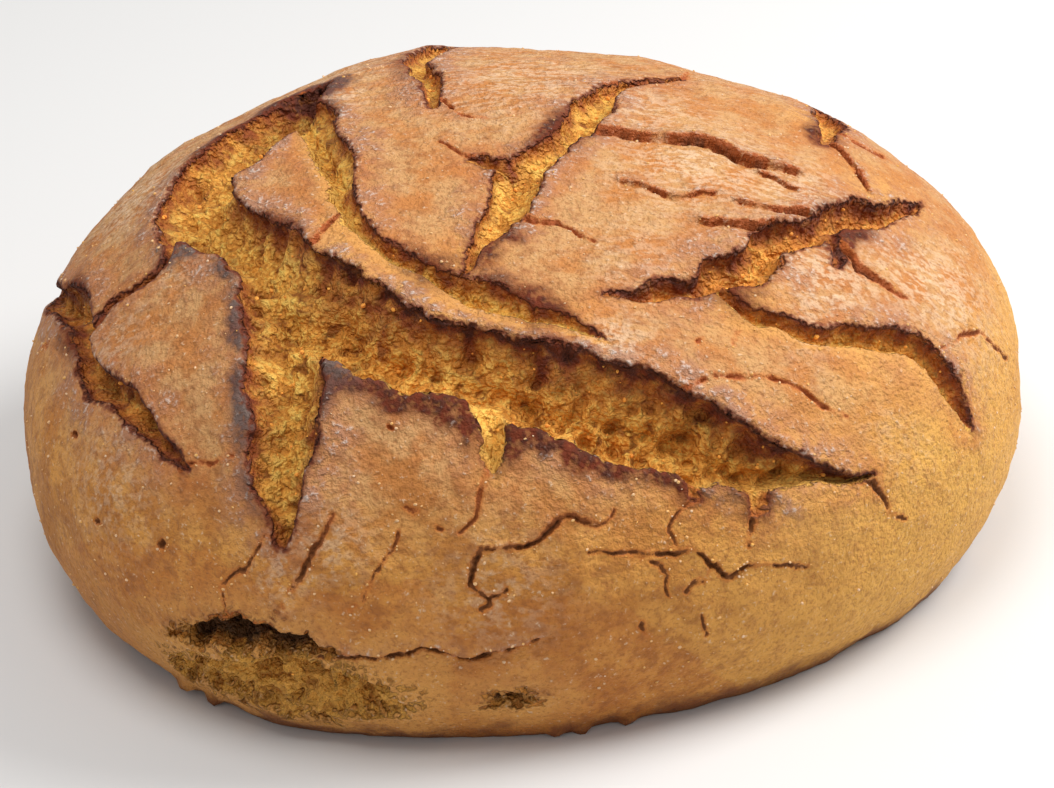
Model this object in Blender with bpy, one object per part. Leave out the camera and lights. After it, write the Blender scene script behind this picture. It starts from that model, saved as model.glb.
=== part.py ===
"""A round corn bread loaf: one solid, with the split crust modelled as relief.

The skin is a flattened ball on a flat base. Fissures run over it along stations,
and every point of the skin is raised or sunk by its distance from their edges.
Bearings are degrees seen from above, from +X towards +Y, so 270 is the front.
Drops are degrees down the skin: 0 is the crown, 90 the widest line.
"""

import math
from collections import namedtuple

import bmesh
import bpy
import numpy as np
from mathutils import Vector, noise

MM = 0.001

# Driving dimensions of the loaf, in metres.
LOAF_RADIUS = 0.110
LOAF_HEIGHT = 0.100
WIDEST_HEIGHT = 0.034
KEEL_DEPTH = 0.063  # how far the underside would reach below the widest line, uncut
SHOULDER_POWER = 2.1  # 2 is an ellipse, and more is a squarer shoulder
UNDERSIDE_POWER = 2.35

# The outline from above isn't a true circle: share of the radius, and the bearing of a bulge.
OVAL, OVAL_BEARING = 0.035, -6.0
LOBES, LOBE_BEARING = 0.025, -11.0

# Slow swellings of the crust, and the wander of the fissures' edges.
SWELL, SWELL_SIZE = 1.3 * MM, 34 * MM
WANDER, WANDER_SIZE, WANDER_SEED = 1.5 * MM, 7 * MM, 5
RAGGED, RAGGED_SIZE = 0.16, 9 * MM  # the edges' own raggedness, as a share of the half width

# How a fissure is shaped.
CRUST_THICKNESS = 1.6 * MM
CRUST_BREAK = 1.2 * MM  # the crust's broken edge falls away over this distance
WALL_POWER = 2.2
NARROW = 4 * MM  # a fissure of this half width is half as deep as a wide one
LIP_SHARE, LIP_LEAST, LIP_MOST, LIP_REACH = 0.14, 0.5 * MM, 2.0 * MM, 7 * MM
TERRACE_REACH = 16 * MM
CRUMB_ROUGH, CRUMB_SIZE = 1.3 * MM, 6 * MM

# Lengths of the mesh's edges.
OPEN_EDGE = 9.0 * MM
RIM_EDGE = 5.4 * MM
NARROW_EDGE = 3.3 * MM  # beside the narrowest fissures
RIM_ZONE = 3.0 * MM
WALL_FOOT = 1.4 * MM  # the foot of a fissure's wall, in from its edge
FIRST_SPHERE = 4
MOST_PASSES = 5
SNAP = 0.22  # a line of edges takes in what is closer to it than this share of an edge

# depth: the floor below the skin, in mm, where the fissure is wide.
# lean: where the floor is deepest, from -1, at the right-hand edge along the stations, to 1.
# terrace: how much higher the crust stands on the left-hand side, in mm.
# lip: how much its edges curl up, as a share of the usual.
# stations: (bearing, drop, half width in mm).
Fissure = namedtuple("Fissure", "name depth lean terrace lip stations")

FISSURES = (
    Fissure("left rift", 10.5, -0.1, 1.0, 1.0, (
        (140, 27, 4.0), (150, 27, 9.2), (158, 28, 10.5), (166, 30, 11.5), (174, 32, 12.0), (182, 35, 10.5),
        (190, 36, 10.0), (198, 35, 8.0), (206, 33, 7.2), (212, 33, 7.8), (219, 33, 7.8), (226, 36, 9.4),
        (233, 42, 10.0), (238, 51, 8.6), (240, 59, 7.1), (241, 64, 6.2), (242, 70, 3.2), (243, 75, 1.0),
    )),
    Fissure("main gash", 13.0, -0.5, 1.5, 1.1, (
        (232, 38, 11.5), (246, 41, 10.0), (256, 44, 8.8), (268, 47, 8.2), (281, 54, 10.5), (290, 60, 8.6),
        (298, 68, 6.8), (305, 73, 2.8), (313, 78, 0.8),
    )),
    Fissure("crown groove", 6.5, 0.3, 2.6, 0.9, (
        (160, 22, 4.2), (177, 19, 4.0), (192, 18, 4.3), (205, 18, 3.7), (214, 20, 3.0), (224, 22, 2.7),
        (236, 26, 1.8), (248, 29, 1.8), (257, 32, 2.4), (266, 35, 3.0), (274, 38, 2.1), (284, 44, 0.8),
    )),
    Fissure("crown gap", 7.5, 0.2, 0.6, 0.9, (
        (33, 27, 0.8), (31, 16, 3.1), (6, 10, 4.8), (330, 9, 4.2), (292, 11, 4.0), (279, 14, 5.4),
        (271, 21, 4.5), (264, 26, 2.2), (262, 31, 0.9),
    )),
    Fissure("under the top plate", 5.0, 0.4, 1.0, 0.8, ((255, 9, 0.9), (275, 11, 2.4), (306, 11, 1.8))),
    Fissure("crown notch", 6.0, 0.0, 0.4, 1.0, (
        (150, 7, 1.2), (135, 9, 2.3), (119, 15, 3.1), (109, 26, 3.6), (92, 40, 4.0), (84, 52, 5.0),
    )),
    Fissure("right gap", 8.5, 0.2, 1.4, 0.9, (
        (289, 38, 0.7), (297, 39, 2.2), (304, 40, 2.1), (309, 39, 3.3), (316, 40, 4.6), (323, 38, 4.1),
        (329, 40, 3.5), (336, 41, 2.8), (341, 43, 4.1), (347, 47, 3.3), (356, 53, 0.8),
    )),
    Fissure("right pocket", 5.5, 0.0, 0.0, 0.6, ((336, 41, 3.2), (333, 43, 1.6), (329, 46, 1.2))),
    Fissure("right groove", 7.0, 0.3, 1.8, 0.9, (
        (308, 42, 1.6), (311, 49, 2.0), (319, 55, 2.4), (327, 62, 3.1), (329, 70, 3.2), (330, 80, 1.2),
    )),
    Fissure("left groove", 8.0, 0.3, 1.2, 0.9, (
        (166, 76, 1.6), (178, 67, 3.4), (190, 59, 4.4), (199, 60, 3.6), (206, 62, 3.6), (212, 61, 3.6),
        (218, 62, 3.2), (223, 64, 2.0), (229, 67, 0.7),
    )),
    Fissure("left upper groove", 6.0, -0.3, -1.2, 0.8, (
        (199, 57, 2.8), (199, 52, 2.0), (201, 47, 1.6), (201, 43, 1.4), (196, 39, 2.2),
    )),
    Fissure("first front notch", 7.5, 0.0, 0.0, 0.8, (
        (267, 50, 4.8), (267, 54, 3.9), (267, 58, 3.0), (267, 61, 1.6), (267, 64, 0.6),
    )),
    Fissure("second front notch", 3.5, 0.0, 0.0, 0.6, ((291, 65, 1.8), (291, 72, 0.6))),
    Fissure("third front notch", 4.5, 0.0, 0.0, 0.6, ((299, 72, 3.4), (298, 77, 0.9))),
    Fissure("far right gap", 5.0, 0.0, 0.0, 0.7, ((27, 50, 2.8), (14, 43, 3.8), (2, 38, 1.0))),
    Fissure("foot hollow", 10.0, 0.2, 0.0, 0.1, (
        (228, 97, 2.0), (235, 93, 4.4), (243, 92, 4.2), (247, 93, 1.4),
    )),
    Fissure("small foot hollow", 7.0, 0.0, 0.0, 0.1, ((265, 105, 0.9), (268, 104, 2.6), (270, 104, 1.8))),
    Fissure("torn foot", 2.4, 0.0, 0.0, 0.0, (
        (227, 106, 5.0), (235, 103, 8.2), (246, 102, 9.4), (254, 104, 4.0),
    )),
    # The far side has split in the same way.
    Fissure("back gash", 11.0, 0.3, -1.2, 1.0, (
        (22, 68, 1.2), (36, 60, 4.4), (54, 56, 6.4), (84, 56, 7.2), (106, 61, 5.0), (130, 62, 1.0),
    )),
    Fissure("back rift", 8.0, 0.0, 0.6, 0.9, ((84, 54, 6.4), (80, 66, 5.4), (83, 78, 3.2), (79, 88, 0.9))),
    Fissure("left shoulder split", 6.0, 0.2, 1.0, 0.9, (
        (141, 60, 1.0), (136, 68, 3.4), (140, 77, 3.8), (134, 86, 2.0), (137, 94, 0.7),
    )),
    Fissure("right shoulder split", 5.5, 0.0, 0.8, 0.8, (
        (16, 60, 1.0), (10, 68, 2.8), (14, 77, 2.6), (8, 86, 0.8),
    )),
)

CRUST_COLOUR = (0.60, 0.27, 0.085, 1.0)
CRUST_ROUGHNESS = 0.82


def clear_scene():
    for obj in list(bpy.data.objects):
        bpy.data.objects.remove(obj, do_unlink=True)


def smooth_step(value, low, high):
    share = np.clip((value - low) / (high - low), 0.0, 1.0)
    return share * share * (3 - 2 * share)


def directions(bearing, drop):
    """Unit vectors from the loaf's middle, for bearings and drops in degrees."""
    b, d = np.radians(bearing), np.radians(drop)
    return np.stack([np.sin(d) * np.cos(b), np.sin(d) * np.sin(b), np.cos(d)], axis=-1)


def plan_radius(b):
    """The outline from above, at bearings in radians."""
    oval = OVAL * np.cos(2 * (b - math.radians(OVAL_BEARING)))
    lobes = LOBES * np.cos(3 * (b - math.radians(LOBE_BEARING)))
    return LOAF_RADIUS * (1 + oval + lobes)


def smooth_skin(way):
    """The unsplit skin's points, for unit directions. It goes on below the flat base, which is cut later."""
    bearing = np.arctan2(way[:, 1], way[:, 0])
    level = np.clip(way[:, 2], -1.0, 1.0)
    out = np.sqrt(np.maximum(1 - level * level, 0.0))
    above = level >= 0
    power = np.where(above, 2 / SHOULDER_POWER, 2 / UNDERSIDE_POWER)
    span = np.where(above, LOAF_HEIGHT - WIDEST_HEIGHT, -KEEL_DEPTH)
    radius = plan_radius(bearing) * out**power
    height = WIDEST_HEIGHT + span * np.abs(level) ** power
    return np.stack([radius * np.cos(bearing), radius * np.sin(bearing), height], axis=-1)


def skin_normals(way, points):
    """Outward normals of the smooth skin, from small steps to two sides."""
    step = 2e-3
    across = np.stack([-way[:, 1], way[:, 0], np.zeros(len(way))], axis=-1)
    flat = np.linalg.norm(across, axis=1) < 1e-6
    across[flat] = (1.0, 0.0, 0.0)
    across /= np.linalg.norm(across, axis=1, keepdims=True)
    down = np.cross(across, way)
    sides = []
    for side in (across, down):
        moved = way + step * side
        moved /= np.linalg.norm(moved, axis=1, keepdims=True)
        sides.append(smooth_skin(moved) - points)
    normals = np.cross(sides[0], sides[1])
    normals /= np.linalg.norm(normals, axis=1, keepdims=True)
    inward = np.sum(normals * way, axis=1) < 0
    normals[inward] *= -1
    return normals


def perlin(points, size, seed=0.0, octaves=2):
    """Smooth noise from about -1 to 1, at each point."""
    shift = Vector((seed, 1.7 * seed, -0.6 * seed))
    return np.array([noise.fractal(Vector(p) / size + shift, 0.8, 2.0, octaves) for p in points])


def wandered(points):
    """The points moved a little, all in the same way nearby, so that straight fissures wander."""
    moved = [noise.noise_vector(Vector(p) / WANDER_SIZE) for p in points]
    return points + WANDER * np.array(moved)


def fissure_rail(fissure):
    """The fissure's centre line on the skin, with its half widths: a smooth curve through the stations."""
    stations = np.array(fissure.stations, float)
    ways = directions(stations[:, 0], stations[:, 1])
    keys = np.concatenate([ways, stations[:, 2:3] * MM], axis=1)
    keys = np.concatenate([2 * keys[:1] - keys[1:2], keys, 2 * keys[-1:] - keys[-2:-1]])
    steps = np.linspace(0, 1, 4, endpoint=False)[:, None]
    runs = []
    for a, b, c, d in zip(keys[:-3], keys[1:-2], keys[2:-1], keys[3:]):
        bend = (2 * a - 5 * b + 4 * c - d) * steps + (3 * (b - c) + d - a) * steps**2
        runs.append(0.5 * (2 * b + (c - a) * steps + bend * steps))
    rail = np.concatenate([*runs, keys[-2:-1]])
    way = rail[:, :3] / np.linalg.norm(rail[:, :3], axis=1, keepdims=True)
    return smooth_skin(way), np.maximum(rail[:, 3], 0.3 * MM)


def nearest_on_rail(points, line, widths):
    """(distance from the edge, half width there, unit vector from the rail, the rail's own direction)."""
    starts, runs = line[:-1], line[1:] - line[:-1]
    offset = points[:, None, :] - starts
    share = np.clip(np.sum(offset * runs, axis=2) / np.sum(runs * runs, axis=1), 0, 1)
    away = offset - share[:, :, None] * runs
    gap = np.linalg.norm(away, axis=2)
    width = widths[:-1] + share * (widths[1:] - widths[:-1])
    best = np.argmin(gap - width, axis=1)
    row = np.arange(len(points))
    gap, width, away = gap[row, best], width[row, best], away[row, best]
    along = runs[best] / np.linalg.norm(runs[best], axis=1, keepdims=True)
    return gap - width, width, away / np.maximum(gap, 1e-9)[:, None], along


def floor_shape(edge, width, cross, lean):
    """How deep the fissure is here, from 0 at its edge to 1 where it is deepest."""
    middle = 0.6 * lean
    reach = np.where(cross > middle, 1 - middle, 1 + middle)
    share = np.clip(1 - np.abs(cross - middle) / reach, 0, 1)
    share = np.minimum(share, np.clip(-edge / width, 0, 1) * 2)
    return 1 - (1 - share) ** WALL_POWER


def relief(points, normals):
    """(height over the smooth skin, distance from the nearest edge, half width there), at the points."""
    count = len(points)
    sunk, lip, terrace = np.zeros(count), np.zeros(count), np.zeros(count)
    nearest, widest = np.full(count, 1.0), np.full(count, MM)
    moved = wandered(points)
    ragged = perlin(points, RAGGED_SIZE, 4.0)
    for fissure in FISSURES:
        line, widths = fissure_rail(fissure)
        middle = line.mean(axis=0)
        reach = np.linalg.norm(line - middle, axis=1).max() + widths.max() + 3 * TERRACE_REACH
        near = np.nonzero(np.linalg.norm(moved - middle, axis=1) < reach)[0]
        if not len(near):
            continue
        edge, width, away, along = nearest_on_rail(moved[near], line, widths)
        edge = edge + RAGGED * width * ragged[near]
        left = np.sum(np.cross(normals[near], along) * away, axis=1)
        cross = np.clip((edge + width) / width, 0, 1) * np.sign(left)
        deep = fissure.depth * MM * width / (width + NARROW)
        fall = CRUST_THICKNESS * smooth_step(-edge, 0, CRUST_BREAK) * np.minimum(width / NARROW, 1)
        here = deep * floor_shape(edge, width, cross, fissure.lean) + fall
        sunk[near] = np.maximum(sunk[near], np.where(edge < 0, here, 0))
        curl = np.clip(LIP_SHARE * width + LIP_LEAST, 0, LIP_MOST) * fissure.lip
        curl *= np.exp(-np.maximum(edge, 0) / LIP_REACH) * np.minimum(width / NARROW, 1)
        lip[near] = np.maximum(lip[near], curl)
        fade = np.exp(-np.maximum(edge, 0) / TERRACE_REACH) * np.minimum(width / NARROW, 1)
        terrace[near] += 0.5 * fissure.terrace * MM * fade * np.clip(2 * left, -1, 1)
        closer = edge < nearest[near]
        nearest[near[closer]] = edge[closer]
        widest[near[closer]] = width[closer]
    rough = CRUMB_ROUGH * perlin(points, CRUMB_SIZE, 9.0, 3) * smooth_step(-nearest, 0, 3 * MM)
    height = SWELL * perlin(points, SWELL_SIZE, 2.0) + terrace + lip - sunk + rough
    return height, nearest, widest


def field(way):
    points = smooth_skin(way)
    normals = skin_normals(way, points)
    return (points, normals, *relief(points, normals))


def vert_ways(bm):
    return np.array([v.co[:] for v in bm.verts])


def set_verts(bm, places):
    for vert, place in zip(bm.verts, places):
        vert.co = place


def refined_sphere():
    """A unit sphere with its triangles smaller where the fissures will be."""
    bm = bmesh.new()
    bmesh.ops.create_icosphere(bm, subdivisions=FIRST_SPHERE, radius=1.0)
    for _ in range(MOST_PASSES):
        middles = np.array([(e.verts[0].co + e.verts[1].co).normalized()[:] for e in bm.edges])
        ends = np.array([[e.verts[0].co[:], e.verts[1].co[:]] for e in bm.edges])
        spans = smooth_skin(ends[:, 0]) - smooth_skin(ends[:, 1])
        points, _, _, edge, width = field(middles)
        fine = np.clip(1.2 * width, NARROW_EDGE, RIM_EDGE)
        wanted = fine + (OPEN_EDGE - fine) * smooth_step(edge, RIM_ZONE, 3 * RIM_ZONE)
        too_long = np.linalg.norm(spans, axis=1) > 1.25 * wanted
        too_long &= points[:, 2] > -RIM_EDGE
        bm.edges.ensure_lookup_table()
        split = [bm.edges[i] for i in np.nonzero(too_long)[0]]
        if not split:
            break
        bmesh.ops.subdivide_edges(bm, edges=split, cuts=1, use_grid_fill=True)
        bmesh.ops.triangulate(bm, faces=[f for f in bm.faces if len(f.verts) > 3])
        for vert in bm.verts:
            vert.co.normalize()
    return bm


def rim_level(edge, width):
    return edge


def foot_level(edge, width):
    return edge + np.minimum(WALL_FOOT, 0.45 * width)


def cut_along(bm, level):
    """Puts a line of mesh edges where the level is nothing, so that rims and walls are crisp."""
    _, _, _, edge, width = field(vert_ways(bm))
    values = level(edge, width)
    bm.verts.index_update()
    shares = {}
    for link in bm.edges:
        a, b = (v.index for v in link.verts)
        if values[a] * values[b] < 0:
            share = values[a] / (values[a] - values[b])
            if share < SNAP:
                values[a] = 0
            elif share > 1 - SNAP:
                values[b] = 0
            else:
                shares[link] = float(share)
    kept = {k: v for k, v in shares.items() if values[k.verts[0].index] * values[k.verts[1].index] < 0}
    bmesh.ops.subdivide_edges(bm, edges=list(kept), cuts=1, edge_percents=kept)
    bmesh.ops.triangulate(bm, faces=[f for f in bm.faces if len(f.verts) > 3])
    for vert in bm.verts:
        vert.co.normalize()


def cut_flat_base(bm):
    """Cuts the loaf level at the height of the table and closes it."""
    for vert in bm.verts:
        if abs(vert.co.z) < 0.8 * MM:
            vert.co.z = 0.0
    everything = [*bm.verts, *bm.edges, *bm.faces]
    bmesh.ops.bisect_plane(
        bm, geom=everything, dist=1e-6, plane_co=(0, 0, 0), plane_no=(0, 0, -1), clear_outer=True
    )
    rim = [e for e in bm.edges if e.is_boundary]
    bmesh.ops.edgeloop_fill(bm, edges=rim)
    bmesh.ops.triangulate(bm, faces=[f for f in bm.faces if len(f.verts) > 3])


def crust_material():
    material = bpy.data.materials.new("baked_corn_crust")
    material.use_nodes = True
    shader = material.node_tree.nodes["Principled BSDF"]
    shader.inputs["Base Color"].default_value = CRUST_COLOUR
    shader.inputs["Roughness"].default_value = CRUST_ROUGHNESS
    shader.inputs["Metallic"].default_value = 0.0
    return material


def make_loaf(collection):
    noise.seed_set(WANDER_SEED)
    bm = refined_sphere()
    cut_along(bm, rim_level)
    cut_along(bm, foot_level)
    points, normals, height, _, _ = field(vert_ways(bm))
    set_verts(bm, points + normals * height[:, None])
    cut_flat_base(bm)
    bmesh.ops.recalc_face_normals(bm, faces=bm.faces)
    mesh = bpy.data.meshes.new("loaf")
    bm.to_mesh(mesh)
    bm.free()
    mesh.shade_smooth()
    mesh.set_sharp_from_angle(angle=math.radians(50))
    mesh.materials.append(crust_material())
    loaf = bpy.data.objects.new("loaf", mesh)
    collection.objects.link(loaf)
    return loaf


def main():
    clear_scene()
    collection = bpy.data.collections.new("corn_bread_loaf")
    bpy.context.scene.collection.children.link(collection)
    make_loaf(collection)


main()
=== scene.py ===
"""A round corn bread loaf with a split, floured crust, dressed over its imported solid.

The skin is a flattened ball on a flat base. Fissures run over it along stations, and every
point of the skin is raised, sunk, shifted and browned by its distance from their edges.
Bearings are degrees seen from above, from +X towards +Y, so 270 is the front.
Drops are degrees down the skin: 0 is the crown, 90 the widest line.
"""

import math
import random
from collections import namedtuple
from types import SimpleNamespace

import bmesh
import bpy
import numpy as np
from mathutils import Color, Matrix, Vector, noise


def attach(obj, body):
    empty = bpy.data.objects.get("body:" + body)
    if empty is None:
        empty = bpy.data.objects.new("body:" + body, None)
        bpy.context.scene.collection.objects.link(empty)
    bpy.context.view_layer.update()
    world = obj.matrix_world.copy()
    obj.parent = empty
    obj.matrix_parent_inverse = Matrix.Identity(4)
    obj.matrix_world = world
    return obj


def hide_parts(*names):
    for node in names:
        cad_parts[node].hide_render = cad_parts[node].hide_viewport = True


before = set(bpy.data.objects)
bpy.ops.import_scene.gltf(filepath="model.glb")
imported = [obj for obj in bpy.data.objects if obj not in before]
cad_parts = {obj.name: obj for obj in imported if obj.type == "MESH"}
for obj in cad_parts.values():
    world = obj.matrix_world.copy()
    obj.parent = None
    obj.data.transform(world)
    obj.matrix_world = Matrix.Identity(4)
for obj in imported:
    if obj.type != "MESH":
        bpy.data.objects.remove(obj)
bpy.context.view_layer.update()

bl_info = {
    "name": "Corn bread loaf",
    "version": (1, 0, 0),
    "blender": (4, 5, 0),
    "location": "3D View > Sidebar > Loaf",
    "description": "Forms a round corn bread loaf with a split crust, grit, crumbs and a studio stage",
    "category": "Add Mesh",
}

MM = 0.001

# The loaf's own sizes, as its solid has them.
LOAF_RADIUS = 0.110
LOAF_HEIGHT = 0.100
WIDEST_HEIGHT = 0.034
KEEL_DEPTH = 0.063
SHOULDER_POWER = 2.1
UNDERSIDE_POWER = 2.35
OVAL, OVAL_BEARING = 0.035, -6.0
LOBES, LOBE_BEARING = 0.025, -11.0

# Slow swellings, and the seeded wander of the fissures' edges.
SWELL, SWELL_SIZE = 1.3 * MM, 34 * MM
WANDER, WANDER_SIZE, WANDER_SEED = 1.5 * MM, 7 * MM, 5
RAGGED, RAGGED_SIZE = 0.16, 9 * MM
FINE_RAGGED, FINE_RAGGED_SIZE = 0.55 * MM, 2.4 * MM
ZIGZAG, ZIGZAG_SIZE = 0.5 * MM, 2.4 * MM
TORN_RAGGED, TORN_RAGGED_SIZE = 2.6 * MM, 5 * MM

# How a fissure is shaped.
CRUST_THICKNESS = 1.6 * MM
CRUST_BREAK = 1.4 * MM
WALL_FOOT = 1.0 * MM
WALL_POWER = 2.2
NARROW = 4 * MM
LIP_SHARE, LIP_LEAST, LIP_MOST, LIP_REACH = 0.14, 0.5 * MM, 2.0 * MM, 7 * MM
LIP_ROUNDING = 1.2 * MM
LEAST_REAL_LIP = 0.35  # below this the edge is a tear, much more ragged than a split
TERRACE_REACH = 16 * MM
OVERHANG, UNDERCUT = 0.5 * MM, 0.3 * MM
CRUMB_LUMP, CRUMB_LUMP_SIZE = 2.4 * MM, 7.5 * MM
CRUMB_KNOT, CRUMB_KNOT_SIZE = 1.3 * MM, 3.4 * MM
PORE_DEPTH, PORE_SPACING, PORE_SHARE = 1.8 * MM, 5.5 * MM, 0.45
CRUST_BUMPS, CRUST_BUMP_SIZE = 0.35 * MM, 5.5 * MM
CRUST_GRAIN, CRUST_GRAIN_SIZE = 0.13 * MM, 2.2 * MM
# A fine crack opens to HAIRLINE_WIDTH of its stations' half widths, and to HAIRLINE_LEAST at least.
HAIRLINE_DEPTH, HAIRLINE_WIDTH, HAIRLINE_LEAST = 1.3 * MM, 0.42, 0.24 * MM
LOW_LIP = 0.25  # the low side of a terraced split keeps this share of its lip
FLAP, FLAP_RAGGED_SIZE = 2.6 * MM, 3 * MM  # how far flaps at the foot stand out, and their raggedness

# How far baking and flour reach from a fissure's edge: at least, and more where it is hotter or wider.
BLOTCH_SIZE = 5 * MM
CHAR_LEAST, CHAR_MORE = 1.6 * MM, 6.5 * MM
# The wall's dark band is partly burnt crust and partly painted shadow under the lip.
WALL_LEAST, WALL_MORE, WALL_BY_WIDTH, WALL_SINGED = 0.7 * MM, 0.9 * MM, 0.24, 2.4 * MM
# Under a high lip the roast reaches further, as painted shade.
ROAST_LEAST, ROAST_BY_WIDTH, ROAST_SHADE_UNDER_LIP = 1.4 * MM, 0.1, 0.4
FROST_REACH, FROST_PATCH_SIZE = 7 * MM, 9 * MM

# Lengths of the mesh's edges.
CRUST_EDGE = 1.8 * MM
CRUMB_EDGE = 0.9 * MM
RIM_EDGE = 0.8 * MM
HAIRLINE_EDGE = 0.33 * MM
SNAP = 0.2

# depth, lean, terrace and lip: as in the solid, in mm and shares.
# inner and outer: how burnt the wall under the left-hand and the right-hand lip is, along the stations; the
# same darkening also stands in for the lip's shadow, as painted shadow.
# fresh: how yellow the crumb is; lower values also stand for painted shade under an overhanging lip, and
# below 0 marks a hollow painted dark. coarse: how lumpy.
# stations: (bearing, drop, half width in mm).
Fissure = namedtuple("Fissure", "name depth lean terrace lip inner outer fresh coarse stations")

FISSURES = (
    Fissure("left rift", 10.5, -0.1, 1.0, 1.0, 0.6, 0.45, 0.95, 0.75, (
        (140, 27, 4.0), (150, 27, 9.2), (158, 28, 10.5), (166, 30, 11.5), (174, 32, 12.0), (182, 35, 10.5),
        (190, 36, 10.0), (198, 35, 8.0), (206, 33, 7.2), (212, 33, 7.8), (219, 33, 7.8), (226, 36, 9.4),
        (233, 42, 10.0), (238, 51, 8.6), (240, 59, 7.1), (241, 64, 6.2), (242, 70, 3.2), (243, 75, 1.0),
    )),
    Fissure("main gash", 13.0, -0.5, 1.5, 1.1, 0.8, 0.1, 0.5, 1.0, (
        (232, 38, 11.5), (246, 41, 10.0), (256, 44, 8.8), (268, 47, 8.2), (281, 54, 10.5), (290, 60, 8.6),
        (298, 68, 6.8), (305, 73, 2.8), (313, 78, 0.8),
    )),
    Fissure("crown groove", 6.5, 0.3, 2.6, 0.9, 0.5, 0.0, 0.9, 0.35, (
        (160, 22, 4.2), (177, 19, 4.0), (192, 18, 4.3), (205, 18, 3.7), (214, 20, 3.0), (224, 22, 2.7),
        (236, 26, 1.8), (248, 29, 1.8), (257, 32, 2.4), (266, 35, 3.0), (274, 38, 2.1), (284, 44, 0.8),
    )),
    Fissure("crown gap", 7.5, 0.2, 0.6, 0.9, 0.35, 0.35, 1.0, 0.25, (
        (33, 27, 0.8), (31, 16, 3.1), (6, 10, 4.8), (330, 9, 4.2), (292, 11, 4.0), (279, 14, 5.4),
        (271, 21, 4.5), (264, 26, 2.2), (262, 31, 0.9),
    )),
    Fissure("under the top plate", 5.0, 0.4, 1.0, 0.8, 0.8, 0.2, 0.5, 0.2, (
        (255, 9, 0.9), (275, 11, 2.4), (306, 11, 1.8),
    )),
    Fissure("crown notch", 6.0, 0.0, 0.4, 1.0, 0.3, 0.4, 0.8, 0.3, (
        (150, 7, 1.2), (135, 9, 2.3), (119, 15, 3.1), (109, 26, 3.6), (92, 40, 4.0), (84, 52, 5.0),
    )),
    Fissure("right gap", 8.5, 0.2, 1.4, 0.9, 0.65, 0.2, 0.15, 0.6, (
        (289, 38, 0.7), (297, 39, 2.2), (304, 40, 2.1), (309, 39, 3.3), (316, 40, 4.6), (323, 38, 4.1),
        (329, 40, 3.5), (336, 41, 2.8), (341, 43, 4.1), (347, 47, 3.3), (356, 53, 0.8),
    )),
    Fissure("right pocket", 5.5, 0.0, 0.0, 0.6, 0.6, 0.6, 0.3, 0.5, (
        (336, 41, 3.2), (333, 43, 1.6), (329, 46, 1.2),
    )),
    Fissure("right groove", 7.0, 0.3, 1.8, 0.9, 0.5, 0.0, 0.35, 0.3, (
        (308, 42, 1.6), (311, 49, 2.0), (319, 55, 2.4), (327, 62, 3.1), (329, 70, 3.2), (330, 80, 1.2),
    )),
    Fissure("left groove", 8.0, 0.3, 1.2, 0.9, 0.75, 0.6, 0.2, 0.5, (
        (166, 76, 1.6), (178, 67, 3.4), (190, 59, 4.4), (199, 60, 3.6), (206, 62, 3.6), (212, 61, 3.6),
        (218, 62, 3.2), (223, 64, 2.0), (229, 67, 0.7),
    )),
    Fissure("left upper groove", 6.0, -0.3, -1.2, 0.8, 0.5, 0.5, 0.55, 0.4, (
        (199, 57, 2.8), (199, 52, 2.0), (201, 47, 1.6), (201, 43, 1.4), (196, 39, 2.2),
    )),
    Fissure("first front notch", 7.5, 0.0, 0.0, 0.8, 0.1, 0.1, 1.0, 0.2, (
        (267, 50, 4.8), (267, 54, 3.9), (267, 58, 3.0), (267, 61, 1.6), (267, 64, 0.6),
    )),
    Fissure("second front notch", 3.5, 0.0, 0.0, 0.6, 0.3, 0.3, 0.6, 0.3, ((291, 65, 1.8), (291, 72, 0.6))),
    Fissure("third front notch", 4.5, 0.0, 0.0, 0.6, 0.2, 0.2, 0.6, 0.3, ((299, 72, 3.4), (298, 77, 0.9))),
    Fissure("far right gap", 5.0, 0.0, 0.0, 0.7, 0.4, 0.3, 0.5, 0.3, (
        (27, 50, 2.8), (14, 43, 3.8), (2, 38, 1.0),
    )),
    # In the hollows at the foot, fresh is below 0: their insides are painted dark as painted shade.
    Fissure("foot hollow", 10.0, 0.2, 0.0, 0.1, 0.1, 0.0, -1.0, 1.0, (
        (228, 97, 2.0), (235, 93, 4.4), (243, 92, 4.2), (247, 93, 1.4),
    )),
    Fissure("small foot hollow", 7.0, 0.0, 0.0, 0.1, 0.1, 0.0, -1.0, 0.6, (
        (265, 105, 0.9), (268, 104, 2.6), (270, 104, 1.8),
    )),
    Fissure("torn foot", 2.4, 0.0, 0.0, 0.0, 0.0, 0.0, 0.4, 1.5, (
        (227, 106, 5.0), (235, 103, 8.2), (246, 102, 9.4), (254, 104, 4.0),
    )),
    # The far side has split in the same way.
    Fissure("back gash", 11.0, 0.3, -1.2, 1.0, 0.7, 0.3, 0.5, 0.9, (
        (22, 68, 1.2), (36, 60, 4.4), (54, 56, 6.4), (84, 56, 7.2), (106, 61, 5.0), (130, 62, 1.0),
    )),
    Fissure("back rift", 8.0, 0.0, 0.6, 0.9, 0.4, 0.4, 0.8, 0.5, (
        (84, 54, 6.4), (80, 66, 5.4), (83, 78, 3.2), (79, 88, 0.9),
    )),
    Fissure("left shoulder split", 6.0, 0.2, 1.0, 0.9, 0.5, 0.2, 0.6, 0.5, (
        (141, 60, 1.0), (136, 68, 3.4), (140, 77, 3.8), (134, 86, 2.0), (137, 94, 0.7),
    )),
    Fissure("right shoulder split", 5.5, 0.0, 0.8, 0.8, 0.4, 0.2, 0.6, 0.4, (
        (16, 60, 1.0), (10, 68, 2.8), (14, 77, 2.6), (8, 86, 0.8),
    )),
)

# Cracks too fine for the solid. step: how much higher the left-hand side stands, in mm.
Hairline = namedtuple("Hairline", "step stations")

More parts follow.
